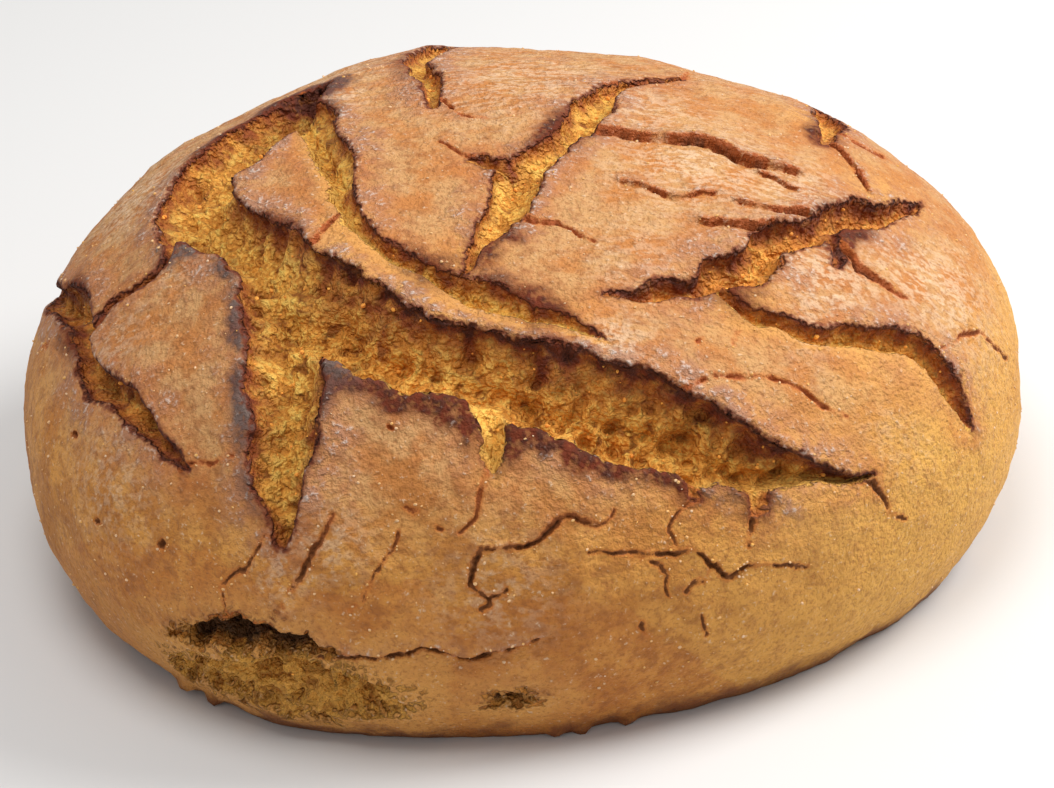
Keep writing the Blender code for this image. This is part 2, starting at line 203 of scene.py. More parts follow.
HAIRLINES = (
    # Seams and tails of the larger splits, on the left, at the crown and at the gash's end.
    Hairline(-1.2, ((222, 22, 0.6), (225, 26, 0.8), (226, 31, 1.0))),
    Hairline(0.3, ((311, 77, 1.0), (314, 81, 1.0), (315, 86, 0.8), (317, 89, 0.3))),
    Hairline(0.5, ((116, 23, 1.2), (132, 24, 1.2), (138, 27, 1.4), (141, 30, 1.6))),
    Hairline(-0.8, ((135, 7, 1.2), (159, 4, 1.3), (186, 2, 1.0), (217, 1, 0.4))),
    Hairline(0.8, ((221, 7, 0.4), (242, 8, 0.7), (260, 9, 1.0))),
    # Seams between the overlapping plates at the upper right, and round the crown gap.
    Hairline(2.8, ((339, 10, 0.8), (343, 16, 0.9), (347, 23, 1.4), (345, 29, 1.8), (346, 34, 0.6))),
    Hairline(1.8, ((343, 30, 0.8), (340, 35, 0.5))),
    Hairline(1.9, ((313, 20, 0.4), (317, 23, 0.6), (320, 26, 0.6), (326, 28, 0.5))),
    Hairline(2.7, ((316, 31, 0.5), (322, 34, 1.0), (327, 37, 1.5))),
    Hairline(2.3, ((327, 31, 0.3), (331, 35, 0.8), (334, 38, 1.2))),
    Hairline(0.6, ((279, 22, 1.2), (288, 25, 0.8), (292, 28, 0.3))),
    Hairline(0.5, ((37, 16, 1.0), (33, 26, 1.0), (38, 32, 1.0))),
    # The right-hand side, and the plate in the middle of the front.
    Hairline(0.5, ((334, 43, 1.4), (331, 48, 1.7), (332, 56, 0.3))),
    Hairline(1.2, ((4, 38, 1.3), (359, 41, 1.2), (351, 44, 0.9))),
    Hairline(0.4, ((8, 42, 1.0), (6, 45, 1.2), (7, 49, 0.8))),
    Hairline(0.3, ((331, 66, 0.8), (338, 68, 0.9), (340, 72, 0.8), (343, 78, 0.4))),
    Hairline(0.4, ((299, 54, 0.3), (305, 56, 0.6), (310, 62, 0.8), (313, 67, 0.3))),
    Hairline(0.2, ((299, 48, 0.3), (302, 48, 0.5))),
    Hairline(0.2, ((304, 50, 0.5), (307, 48, 0.3))),
    Hairline(0.2, ((293, 55, 0.6), (297, 54, 0.4))),
    # The front, from left to right.
    Hairline(0.2, ((228, 67, 1.0), (232, 64, 0.5), (234, 62, 0.3))),
    Hairline(0.3, ((241, 74, 0.8), (238, 80, 0.9), (236, 84, 0.8), (236, 88, 0.3))),
    Hairline(0.5, ((248, 69, 0.4), (247, 75, 1.2), (244, 83, 0.9), (243, 86, 0.4))),
    Hairline(0.2, ((256, 72, 0.3), (254, 78, 0.5), (252, 83, 0.6), (250, 86, 0.3))),
    Hairline(0.2, ((267, 60, 1.2), (266, 65, 0.5), (265, 69, 0.6), (263, 72, 0.3))),
    Hairline(0.6, (
        (264, 80, 1.1), (265, 76, 1.8), (271, 74, 1.5), (275, 71, 1.3), (279, 73, 0.8), (281, 71, 0.5),
    )),
    Hairline(0.2, ((264, 80, 0.8), (266, 84, 0.5), (265, 86, 0.3))),
    Hairline(0.2, ((266, 84, 0.6), (268, 82, 0.3))),
    Hairline(0.4, (
        (278, 77, 0.5), (286, 80, 1.1), (290, 80, 1.3), (293, 87, 1.4), (297, 86, 1.1), (303, 89, 0.6),
    )),
    Hairline(0.2, ((284, 80, 0.6), (286, 84, 0.8), (286, 87, 0.4))),
    Hairline(0.2, ((288, 88, 0.4), (290, 86, 0.7), (292, 84, 1.0))),
    Hairline(0.2, ((291, 72, 1.0), (287, 76, 0.4), (288, 79, 0.3))),
    Hairline(0.2, ((298, 77, 1.2), (296, 82, 0.3))),
    # Over the foot.
    Hairline(1.0, ((246, 93, 2.4), (252, 94, 1.7), (258, 92, 1.9), (264, 94, 1.8), (271, 91, 0.6))),
    Hairline(0.1, ((283, 91, 0.3), (284, 94, 0.3))),
    Hairline(0.1, ((290, 92, 0.3), (290, 96, 0.3))),
)
FAR_HAIRLINES, FAR_SEED = 16, 41

# Small pits in the crust: (bearing, drop, radius in mm).
PITS = (
    (208, 71, 1.1), (227, 81, 1.2), (217, 82, 1.0), (254, 55, 0.9), (257, 68, 1.0), (260, 71, 0.8),
    (172, 80, 1.0), (118, 74, 1.1), (52, 76, 1.0), (18, 92, 0.9),
)
# Ragged flaps that stand out round the foot: (bearing, drop, radius in mm, share of their reach).
FLAPS = (
    (223, 116, 2.4, 0.8), (227, 117, 2.0, 1.0), (231, 112, 2.6, 0.7), (240, 110, 3.4, 0.6),
    (250, 108, 3.0, 0.5), (273, 117, 1.8, 1.0), (276, 118, 1.6, 0.8), (282, 118, 1.8, 1.0),
    (236, 98, 2.4, 0.5), (244, 99, 2.6, 0.4),
)

# (bearing, drop, radius in mm, strength): where edges are burnt most.
SCORCHED = (
    (140, 28, 20, 1.0), (161, 33, 14, 0.6), (200, 39, 7, 1.0), (213, 38, 7, 0.6), (226, 42, 10, 0.8),
    (239, 65, 10, 0.5), (244, 46, 9, 1.3), (253, 49, 9, 0.9), (261, 52, 9, 1.1), (272, 55, 10, 1.0),
    (280, 62, 10, 0.9), (288, 68, 9, 0.6), (276, 46, 5, 0.6), (272, 29, 8, 0.8), (277, 37, 8, 0.6),
    (310, 42, 7, 0.5), (336, 44, 7, 0.9), (6, 36, 9, 0.6), (195, 65, 8, 0.5), (329, 7, 10, 0.6),
    (234, 54, 12, 0.8), (297, 73, 9, 0.4), (160, 66, 9, 0.6), (186, 57, 8, 0.4), (254, 30, 7, 0.5),
    (212, 28, 7, 0.4), (243, 60, 6, 0.4),
)
# Where the burnt crust has turned ashen.
ASHEN = (
    (244, 45, 7, 1.0), (200, 39, 9, 1.0), (212, 38, 9, 0.8), (222, 40, 9, 0.9), (230, 46, 9, 1.0),
    (234, 55, 9, 1.0), (238, 64, 8, 0.7), (138, 25, 16, 0.5),
)
# Where flour lies thickest.
FLOURED = (
    # The spots at bearings 160 and 170 on the far left are partly flour and partly a painted highlight along
    # the lit rim.
    (160, 60, 24, 0.7), (170, 46, 16, 0.9), (130, 32, 22, 0.8), (70, 12, 26, 0.7), (6, 15, 16, 0.7),
    (335, 24, 20, 0.75), (338, 36, 16, 0.8), (322, 47, 18, 0.85), (339, 57, 20, 0.75), (320, 70, 14, 0.3),
    (206, 55, 9, 0.5), (203, 41, 8, 0.6), (152, 20, 8, 0.9), (285, 46, 9, 0.9), (267, 83, 12, 0.4),
    (218, 74, 14, 0.4), (100, 40, 40, 0.5), (40, 50, 40, 0.4), (298, 33, 12, 0.4), (248, 74, 8, 0.5),
    (243, 80, 7, 0.5), (196, 34, 10, 0.5),
)
# Where the crust stretched while it baked: smooth and orange, with no flour on it.
STRETCHED = (
    (226, 25, 6, 0.8), (233, 30, 7, 1.0), (241, 33, 7, 1.0), (250, 35, 8, 1.0), (260, 37, 8, 1.0),
    (269, 41, 7, 0.8), (262, 28, 7, 0.9), (310, 46, 9, 0.8), (320, 60, 8, 0.9), (326, 68, 8, 0.9),
    (352, 47, 10, 0.9), (12, 38, 7, 0.8), (299, 62, 9, 0.5), (282, 40, 6, 0.5), (303, 78, 14, 0.8),
)

GRIT_COUNT, GRIT_LEAST, GRIT_MOST, GRIT_SEED = 1500, 0.15 * MM, 0.5 * MM, 7
CRUMB_COUNT, CRUMB_LEAST, CRUMB_MOST, CRUMB_SEED = 260, 0.25 * MM, 0.8 * MM, 11

# Streaks of flour run along the right-hand plates' folds.
STREAK_TURN = (0.0, 0.0, math.radians(8.0))
STREAK_SCALE = (0.45, 1.0, 0.8)
CRUMB_SWIRL = (2.4 * MM, 2.4 * MM, 2.4 * MM)  # how far the crumb's cells are bent
PALEST_BEARING = 338  # the side that baked least

# The skin's attributes that its material reads.
MEASURED_FIELDS = ("wall", "char", "roast", "frost", "fresh", "lump", "hole", "ashen", "stretched")
LOOK_FIELDS = ("edge_mm", "crack_mm", "flour", "side", "golden", *MEASURED_FIELDS)

# The camera stands at the front and looks down on the loaf.
CAMERA_ELEVATION = 30.0
CAMERA_DISTANCE = 0.75
CAMERA_ROLL = 4.0
CAMERA_LENS = 110.5
AIM = (0.0032, 0.0, 0.0291)

# The studio. Each light: its place, size, power and colour.
FLOOR_GREY, WORLD_STRENGTH = 0.68, 0.5
LIGHTS = {
    "key": ((0.72, 0.10, 0.72), 0.55, 9.4, (1.0, 0.98, 0.95)),
    "overhead": ((-0.12, -0.22, 1.1), 0.6, 5.8, (1.0, 0.98, 0.96)),
}


def linear(hex_colour):
    """An sRGB hex colour as linear red, green and blue."""
    parts = [int(hex_colour[i:i + 2], 16) / 255 for i in (1, 3, 5)]
    return tuple(p / 12.92 if p <= 0.04045 else ((p + 0.055) / 1.055) ** 2.4 for p in parts)


def smooth_step(value, low, high):
    share = np.clip((value - low) / (high - low), 0.0, 1.0)
    return share * share * (3 - 2 * share)


def directions(bearing, drop):
    """Unit vectors from the loaf's middle, for bearings and drops in degrees."""
    b, d = np.radians(bearing), np.radians(drop)
    return np.stack([np.sin(d) * np.cos(b), np.sin(d) * np.sin(b), np.cos(d)], axis=-1)


def plan_radius(b):
    """The outline from above, at bearings in radians."""
    oval = OVAL * np.cos(2 * (b - math.radians(OVAL_BEARING)))
    lobes = LOBES * np.cos(3 * (b - math.radians(LOBE_BEARING)))
    return LOAF_RADIUS * (1 + oval + lobes)


def smooth_skin(way):
    """The unsplit skin's points, for unit directions. It goes on below the flat base."""
    bearing = np.arctan2(way[:, 1], way[:, 0])
    level = np.clip(way[:, 2], -1.0, 1.0)
    out = np.sqrt(np.maximum(1 - level * level, 0.0))
    above = level >= 0
    power = np.where(above, 2 / SHOULDER_POWER, 2 / UNDERSIDE_POWER)
    span = np.where(above, LOAF_HEIGHT - WIDEST_HEIGHT, -KEEL_DEPTH)
    radius = plan_radius(bearing) * out**power
    height = WIDEST_HEIGHT + span * np.abs(level) ** power
    return np.stack([radius * np.cos(bearing), radius * np.sin(bearing), height], axis=-1)


def skin_normals(way, points):
    """Outward normals of the smooth skin, from small steps to two sides."""
    step = 2e-3
    across = np.stack([-way[:, 1], way[:, 0], np.zeros(len(way))], axis=-1)
    flat = np.linalg.norm(across, axis=1) < 1e-6
    across[flat] = (1.0, 0.0, 0.0)
    across /= np.linalg.norm(across, axis=1, keepdims=True)
    down = np.cross(across, way)
    sides = []
    for side in (across, down):
        moved = way + step * side
        moved /= np.linalg.norm(moved, axis=1, keepdims=True)
        sides.append(smooth_skin(moved) - points)
    normals = np.cross(sides[0], sides[1])
    normals /= np.linalg.norm(normals, axis=1, keepdims=True)
    inward = np.sum(normals * way, axis=1) < 0
    normals[inward] *= -1
    return normals


def perlin(points, size, seed=0.0, octaves=2):
    """Smooth noise from about -1 to 1, at each point."""
    shift = Vector((seed, 1.7 * seed, -0.6 * seed))
    return np.array([noise.fractal(Vector(p) / size + shift, 0.8, 2.0, octaves) for p in points])


def pores(points, size, seed):
    """How far into a pore each point is, from 0 to 1. About half of the cells hold a pore."""
    found = np.zeros(len(points))
    shift = Vector((seed, -seed, 2 * seed))
    for i, p in enumerate(points):
        gaps, places = noise.voronoi(Vector(p) / size + shift)
        if noise.cell(places[0] * 7.3) < PORE_SHARE:
            found[i] = max(0.0, 1 - gaps[0] / 0.42)
    return smooth_step(found, 0, 0.8)


def wandered(points, amount, size):
    """The points moved a little, all in the same way nearby, so that straight lines wander."""
    moved = [noise.noise_vector(Vector(p) / size) for p in points]
    return points + amount * np.array(moved)


def rail(stations):
    """A centre line on the skin, with its half widths: a smooth curve through the stations."""
    stations = np.array(stations, float)
    ways = directions(stations[:, 0], stations[:, 1])
    keys = np.concatenate([ways, stations[:, 2:3] * MM], axis=1)
    keys = np.concatenate([2 * keys[:1] - keys[1:2], keys, 2 * keys[-1:] - keys[-2:-1]])
    steps = np.linspace(0, 1, 4, endpoint=False)[:, None]
    runs = []
    for a, b, c, d in zip(keys[:-3], keys[1:-2], keys[2:-1], keys[3:]):
        bend = (2 * a - 5 * b + 4 * c - d) * steps + (3 * (b - c) + d - a) * steps**2
        runs.append(0.5 * (2 * b + (c - a) * steps + bend * steps))
    line = np.concatenate([*runs, keys[-2:-1]])
    way = line[:, :3] / np.linalg.norm(line[:, :3], axis=1, keepdims=True)
    return smooth_skin(way), np.maximum(line[:, 3], 0.3 * MM)


def nearest_on_rail(points, line, widths):
    """(distance from the edge, half width there, unit vector from the rail, the rail's own direction)."""
    starts, runs = line[:-1], line[1:] - line[:-1]
    offset = points[:, None, :] - starts
    share = np.clip(np.sum(offset * runs, axis=2) / np.sum(runs * runs, axis=1), 0, 1)
    away = offset - share[:, :, None] * runs
    gap = np.linalg.norm(away, axis=2)
    width = widths[:-1] + share * (widths[1:] - widths[:-1])
    best = np.argmin(gap - width, axis=1)
    row = np.arange(len(points))
    gap, width, away = gap[row, best], width[row, best], away[row, best]
    along = runs[best] / np.linalg.norm(runs[best], axis=1, keepdims=True)
    return gap - width, width, away / np.maximum(gap, 1e-9)[:, None], along


def near_rail(points, line, widths, reach):
    """Numbers of the points within reach of the rail's box."""
    middle = (line.min(axis=0) + line.max(axis=0)) / 2
    radius = np.linalg.norm(line - middle, axis=1).max() + widths.max() + reach
    return np.nonzero(np.linalg.norm(points - middle, axis=1) < radius)[0]


def far_hairlines():
    """Fine cracks for the side that faces away, drawn by a seeded rule."""
    rng = random.Random(FAR_SEED)
    found = []
    for _ in range(FAR_HAIRLINES):
        bearing, drop = rng.uniform(10, 195), rng.uniform(58, 92)
        turn = rng.uniform(-1, 1)
        stations = []
        for width in (0.3, 0.8, 0.9, 0.3):
            stations.append((bearing, drop, width))
            bearing += turn * rng.uniform(1.5, 4)
            drop += rng.uniform(0.5, 5)
        found.append(Hairline(0.3, tuple(stations)))
    return tuple(found)


def pit_hairlines():
    """The pits, as cracks that are as short as they are wide."""
    return tuple(Hairline(0.0, ((b, d, 1.4 * r), (b + 0.5, d + 0.3, r))) for b, d, r in PITS)


RAILS = [rail(f.stations) for f in FISSURES]
ALL_HAIRLINES = HAIRLINES + far_hairlines() + pit_hairlines()
HAIR_RAILS = [rail(h.stations) for h in ALL_HAIRLINES]


def floor_shape(edge, width, cross, lean):
    """How deep the fissure is here, from 0 at its edge to 1 where it is deepest."""
    middle = 0.6 * lean
    reach = np.where(cross > middle, 1 - middle, 1 + middle)
    share = np.clip(1 - np.abs(cross - middle) / reach, 0, 1)
    share = np.minimum(share, np.clip(-edge / width, 0, 1) * 2)
    return 1 - (1 - share) ** WALL_POWER


def spread(points, spots):
    """The strongest of the round, soft-edged spots at each point."""
    total = np.zeros(len(points))
    for bearing, drop, radius, strength in spots:
        centre = smooth_skin(directions(np.array([bearing]), np.array([drop])))[0]
        gap = np.linalg.norm(points - centre, axis=1) / (radius * MM)
        total = np.maximum(total, strength * np.exp(-gap * gap))
    return total


def fissure_fields(points, normals):
    """How the fissures sink, raise and burn the skin at its points, and which edge is the nearest."""
    count = len(points)
    names = "sunk lip terrace wall fresh coarse lipped upper crisp"
    found = SimpleNamespace(**{name: np.zeros(count) for name in names.split()})
    found.edge, found.width, found.away = np.full(count, 1.0), np.full(count, MM), np.zeros((count, 3))
    moved = wandered(points, WANDER, WANDER_SIZE)
    ragged = perlin(points, RAGGED_SIZE, 4.0)
    fine = perlin(points, FINE_RAGGED_SIZE, 5.0)
    torn = perlin(points, TORN_RAGGED_SIZE, 17.0, 3)
    for fissure, (line, widths) in zip(FISSURES, RAILS):
        near = near_rail(moved, line, widths, 3 * TERRACE_REACH)
        if not len(near):
            continue
        edge, width, out, along = nearest_on_rail(moved[near], line, widths)
        wide = np.minimum(width / NARROW, 1)
        edge = edge + RAGGED * width * ragged[near] + FINE_RAGGED * wide * fine[near]
        if fissure.lip < LEAST_REAL_LIP:
            edge = edge + TORN_RAGGED * torn[near]
        left = np.sum(np.cross(normals[near], along) * out, axis=1)
        side = np.where(left > 0, fissure.inner, fissure.outer)
        lip = fissure.lip * wide * np.where(side > 0, 1, LOW_LIP)
        cross = np.clip((edge + width) / width, 0, 1) * np.sign(left)
        deep = fissure.depth * MM * width / (width + NARROW)
        fall = CRUST_THICKNESS * smooth_step(-edge, 0, CRUST_BREAK) * wide
        here = deep * floor_shape(edge, width, cross, fissure.lean) + fall
        found.sunk[near] = np.maximum(found.sunk[near], np.where(edge < 0, here, 0))
        curl = lip * np.clip(LIP_SHARE * width + LIP_LEAST, 0, LIP_MOST)
        curl *= np.exp(-np.maximum(edge, 0) / LIP_REACH)
        found.lip[near] = np.maximum(found.lip[near], curl)
        fade = np.exp(-np.maximum(edge, 0) / TERRACE_REACH) * wide
        found.terrace[near] += 0.5 * fissure.terrace * MM * fade * np.clip(2 * left, -1, 1)
        closer = edge < found.edge[near]
        rows = near[closer]
        found.edge[rows], found.width[rows], found.away[rows] = edge[closer], width[closer], out[closer]
        found.wall[rows] = side[closer]
        found.upper[rows] = np.clip(0.5 + 3 * left[closer], 0, 1)
        found.lipped[rows] = lip[closer]
        found.crisp[rows] = min(1.0, 0.16 + 1.2 * fissure.lip)
        found.fresh[rows], found.coarse[rows] = fissure.fresh, fissure.coarse
    return found


def hairline_fields(points, normals):
    """(height, distance from the nearest hairline's edge, how near a raised ledge), at points of the skin."""
    moved = wandered(wandered(points, WANDER, WANDER_SIZE), ZIGZAG, ZIGZAG_SIZE)
    uneven = perlin(points, 1.2 * MM, 21.0)
    height, crack, ledge = np.zeros(len(points)), np.full(len(points), 1.0), np.zeros(len(points))
    for hairline, (line, widths) in zip(ALL_HAIRLINES, HAIR_RAILS):
        near = near_rail(moved, line, widths, 14 * MM)
        if not len(near):
            continue
        open_widths = np.maximum(HAIRLINE_WIDTH * widths, HAIRLINE_LEAST)
        edge, width, out, along = nearest_on_rail(moved[near], line, open_widths)
        edge += (0.1 * MM + 0.3 * width) * uneven[near]
        left = np.sum(np.cross(normals[near], along) * out, axis=1)
        full = np.clip(width / (0.5 * MM), 0.6, 1.4)
        fade = np.exp(-np.maximum(edge, 0) / (5 * MM)) * np.minimum(full, 1)
        height[near] += 0.5 * hairline.step * MM * fade * np.clip(3 * left, -1, 1)
        groove = np.clip(1 - (edge + width) / (width + 0.3 * MM), 0, 1)
        height[near] -= HAIRLINE_DEPTH * full * groove
        crack[near] = np.minimum(crack[near], edge)
        raised = np.clip(hairline.step * np.sign(left) - 0.4, 0, 1) * np.exp(-np.maximum(edge, 0) / (2 * MM))
        ledge[near] = np.maximum(ledge[near], raised * np.minimum(full, 1))
    return height, crack, ledge


def billow(points, size, seed):
    """Rounded lumps with creases between them: 1 on a lump, below 0 in a crease."""
    return 1 - 2.6 * np.abs(perlin(points, size, seed, 1))


def crumb_relief(points, splits):
    """(height, how lumped, how far into a pore) of the torn crumb."""
    inside = smooth_step(-splits.edge, 0.3 * MM, 3 * MM)
    lumps = billow(points, CRUMB_LUMP_SIZE, 9.0)
    knots = billow(points, CRUMB_KNOT_SIZE, 3.0)
    height = (CRUMB_LUMP * (lumps - 0.5) * inside + CRUMB_KNOT * (knots - 0.4)) * splits.coarse
    height *= smooth_step(-splits.edge, 0, 1 * MM)
    hole = np.zeros(len(points))
    open_crumb = np.nonzero(splits.edge < -1 * MM)[0]
    if len(open_crumb):
        hole[open_crumb] = pores(points[open_crumb], PORE_SPACING, 2.0)
    hole *= smooth_step(-splits.edge, 1 * MM, 3 * MM) * np.clip(splits.coarse, 0, 1)
    return height - PORE_DEPTH * hole, np.clip(0.6 * lumps + 0.4 * knots, -1, 1), hole


def crust_relief(points, splits):
    """Height of the crust's low bumps and grain."""
    outside = smooth_step(splits.edge, -0.2 * MM, 1.5 * MM)
    bumps = CRUST_BUMPS * perlin(points, CRUST_BUMP_SIZE, 6.0)
    grain = CRUST_GRAIN * perlin(points, CRUST_GRAIN_SIZE, 8.0)
    return (bumps + grain) * outside


def baked(points, splits, ledge):
    """How burnt, roasted and floured the skin is at its points: wall, char, roast and frost. The wall also
    holds painted shadow under a lip, and the roast reaches further under a high lip as painted shade.
    """
    edge = splits.edge
    inward, outward = np.maximum(-edge, 0), np.maximum(edge, 0)
    burnt = spread(points, SCORCHED)
    blotch = 1 + 0.6 * perlin(points, BLOTCH_SIZE, 12.0, 3)
    band = (CHAR_LEAST + CHAR_MORE * np.clip(burnt, 0, 1.1)) * blotch
    char = np.clip(1.6 * burnt, 0, 1) * (1 - smooth_step(edge, 0.35 * band, band))
    char = char * smooth_step(edge, -1 * MM, 0.2 * MM)
    singed = burnt * (splits.wall > 0.15)
    reach = WALL_LEAST + (WALL_MORE + WALL_BY_WIDTH * splits.width) * splits.wall + WALL_SINGED * singed
    # The wall's darkening: partly burnt, partly painted shadow under the lip.
    wall = np.maximum(splits.wall, 0.7 * singed) * np.exp(-inward / reach)
    # The roast reaches further under a high lip: painted shade.
    roast_reach = ROAST_LEAST + (ROAST_BY_WIDTH + ROAST_SHADE_UNDER_LIP * splits.wall * splits.upper) * splits.width
    patches = 0.35 + 0.65 * smooth_step(perlin(points, FROST_PATCH_SIZE, 31.0), -0.3, 0.3)
    frost = splits.lipped * np.exp(-(outward / FROST_REACH) ** 2) * np.clip(1 - 0.9 * burnt, 0, 1)
    return {
        "wall": np.clip(1.45 * wall * blotch, 0, 1),
        "char": char,
        "roast": np.clip(np.exp(-inward / roast_reach) * blotch, 0, 1),
        "frost": np.maximum(frost * patches, 0.9 * ledge),
    }


def measure(ways):
    """Everything that the finish and the form need to know, at unit directions."""
    points = smooth_skin(ways)
    normals = skin_normals(ways, points)
    splits = fissure_fields(points, normals)
    step, crack, ledge = hairline_fields(points, normals)
    crumb, lump, hole = crumb_relief(points, splits)
    edge = splits.edge
    roll = np.clip(1 - edge / LIP_ROUNDING, 0, 1) * (edge > -0.2 * MM)
    rounding = LIP_ROUNDING * splits.lipped * (1 - np.sqrt(1 - roll * roll))
    height = SWELL * perlin(points, SWELL_SIZE, 2.0) + splits.terrace + splits.lip - rounding - splits.sunk
    height += crumb + crust_relief(points, splits) + step * smooth_step(edge, -0.5 * MM, 1 * MM)
    height += FLAP * spread(points, FLAPS) * np.clip(0.5 + perlin(points, FLAP_RAGGED_SIZE, 37.0), 0, 1.3)
    over = OVERHANG * splits.lipped * (1 - np.clip(np.abs(edge) / (2.4 * MM), 0, 1)) ** 1.5
    under = (UNDERCUT + OVERHANG) * splits.lipped * smooth_step(-edge, 0, WALL_FOOT)
    under *= 1 - smooth_step(-edge / splits.width, 0.2, 0.55)
    return SimpleNamespace(
        place=points + splits.away * (under - over)[:, None] + normals * height[:, None],
        point=points, upright=normals[:, 2], edge=edge, width=splits.width,
        crack=np.where(edge < 0, 6 * MM, crack), crisp=splits.crisp,
        fresh=splits.fresh, lump=lump, hole=hole,
        ashen=spread(points, ASHEN), stretched=spread(points, STRETCHED),
        **baked(points, splits, ledge),
    )


def measured(bm, known):
    """The measures of all of the mesh's points, taking only those that aren't known yet."""
    count = len(known.edge) if known else 0
    fresh = list(bm.verts)[count:]
    for vert in fresh:
        vert.co.normalize()
    new = measure(np.array([v.co[:] for v in fresh]))
    if not known:
        return new
    joined = {key: np.concatenate([old, getattr(new, key)]) for key, old in vars(known).items()}
    return SimpleNamespace(**joined)


def edge_ends(bm):
    """Numbers of the two ends of each edge."""
    bm.verts.index_update()
    bm.edges.ensure_lookup_table()
    return np.array([[v.index for v in e.verts] for e in bm.edges])


def refined_sphere(coarse):
    """A unit sphere with small triangles at rims, in the crumb and at cracks, and its measures."""
    bm = bmesh.new()
    bmesh.ops.create_icosphere(bm, subdivisions=6, radius=1.0)
    known = measured(bm, None)
    for _ in range(5):
        a, b = edge_ends(bm).T
        edge, crack, point = known.edge, known.crack, known.point
        crossing = edge[a] * edge[b] < 0
        near_rim = crossing | (np.minimum(np.abs(edge[a]), np.abs(edge[b])) < 1.3 * MM)
        wanted = np.where(np.minimum(edge[a], edge[b]) < -0.5 * MM, CRUMB_EDGE, CRUST_EDGE)
        wanted = np.where(near_rim, RIM_EDGE, wanted)
        wanted = np.minimum(wanted, np.maximum(np.minimum(crack[a], crack[b]), HAIRLINE_EDGE))
        too_long = np.linalg.norm(point[a] - point[b], axis=1) > 1.35 * wanted * coarse
        too_long &= np.maximum(point[a, 2], point[b, 2]) > -2 * MM
        split = [bm.edges[i] for i in np.nonzero(too_long)[0]]
        if not split:
            break
        bmesh.ops.subdivide_edges(bm, edges=split, cuts=1, use_grid_fill=True)
        bmesh.ops.triangulate(bm, faces=[f for f in bm.faces if len(f.verts) > 3])
        known = measured(bm, known)
    return bm, known


def cut_along(bm, known, depth):
    """Puts a line of mesh edges where a fissure's wall is this far in from its edge, so that it is crisp."""
    values = known.edge + np.minimum(depth, 0.45 * known.width)
    ends = edge_ends(bm)
    shares = {}
    for number in np.nonzero(values[ends[:, 0]] * values[ends[:, 1]] < 0)[0]:
        a, b = ends[number]
        share = values[a] / (values[a] - values[b])
        if SNAP < share < 1 - SNAP:
            shares[bm.edges[number]] = float(share)
    bmesh.ops.subdivide_edges(bm, edges=list(shares), cuts=1, edge_percents=shares)
    bmesh.ops.triangulate(bm, faces=[f for f in bm.faces if len(f.verts) > 3])
    return measured(bm, known)


def cut_flat_base(bm):
    """Cuts the loaf level at the height of the table and closes it."""
    everything = [*bm.verts, *bm.edges, *bm.faces]
    bmesh.ops.bisect_plane(
        bm, geom=everything, dist=1e-6, plane_co=(0, 0, 0), plane_no=(0, 0, -1), clear_outer=True
    )
    rim = [e for e in bm.edges if e.is_boundary]
    bmesh.ops.edgeloop_fill(bm, edges=rim)
    bmesh.ops.triangulate(bm, faces=[f for f in bm.faces if len(f.verts) > 3])


def new_object(name, mesh, material):
    """Adds a finished piece that rides on the loaf's one body."""
    piece = bpy.data.objects.new(name, mesh)
    bpy.context.scene.collection.objects.link(piece)
    mesh.materials.append(material)
    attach(piece, "root")
    return piece


def add(tree, kind, settings=None, links=None):
    """Adds a node, sets its properties, and sets or links its inputs, which are given by name or number."""
    node = tree.nodes.new(kind)
    for key, value in (settings or {}).items():
        setattr(node, key, value)
    for key, value in (links or {}).items():
        if isinstance(value, bpy.types.NodeSocket):
            tree.links.new(value, node.inputs[key])
        else:
            node.inputs[key].default_value = value
    return node


def new_material(name):
    material = bpy.data.materials.new(name)
    material.use_nodes = True
    tree = material.node_tree
    tree.nodes.clear()
    shader = add(tree, "ShaderNodeBsdfPrincipled")
    output = add(tree, "ShaderNodeOutputMaterial")
    tree.links.new(shader.outputs["BSDF"], output.inputs["Surface"])
    return material, tree, shader


# Ways to use a node: its kind and settings, the inputs that take the values in order, and its output.
Way = namedtuple("Way", "kind settings inputs output")
RANGE = ("Value", "From Min", "From Max", "To Min", "To Max")
PLUS = Way("ShaderNodeMath", {"operation": "ADD"}, (0, 1), 0)
MINUS = Way("ShaderNodeMath", {"operation": "SUBTRACT"}, (0, 1), 0)
SCALED = Way("ShaderNodeMath", {"operation": "MULTIPLY"}, (0, 1), 0)
TIMES = Way("ShaderNodeMath", {"operation": "MULTIPLY", "use_clamp": True}, (0, 1), 0)
REMAP = Way("ShaderNodeMapRange", {"interpolation_type": "SMOOTHSTEP"}, RANGE, 0)
MIXED = Way("ShaderNodeMix", {"data_type": "RGBA"}, (0, 6, 7), 2)
NOISE = Way("ShaderNodeTexNoise", {}, ("Vector", "Scale", "Detail", "Roughness"), "Fac")
CELLS = Way("ShaderNodeTexVoronoi", {}, ("Vector", "Scale"), "Distance")


def use(way, *values):
    """Adds a node in one of these ways, beside the socket that is its first one, and gives its output."""
    tree = next(value.id_data for value in values if isinstance(value, bpy.types.NodeSocket))
    values = [(*value, 1) if isinstance(value, (Color, tuple)) else value for value in values]
    return add(tree, way.kind, way.settings, dict(zip(way.inputs, values))).outputs[way.output]


def per(size):
    """A pattern's scale, from the size of its grains in mm."""
    return 1 / (size * MM)


def layered(colour, *layers):
    """The colour with layers over it. Each layer is (share, colour)."""
    for share, over in layers:
        colour = use(MIXED, share, colour, over)
    return colour


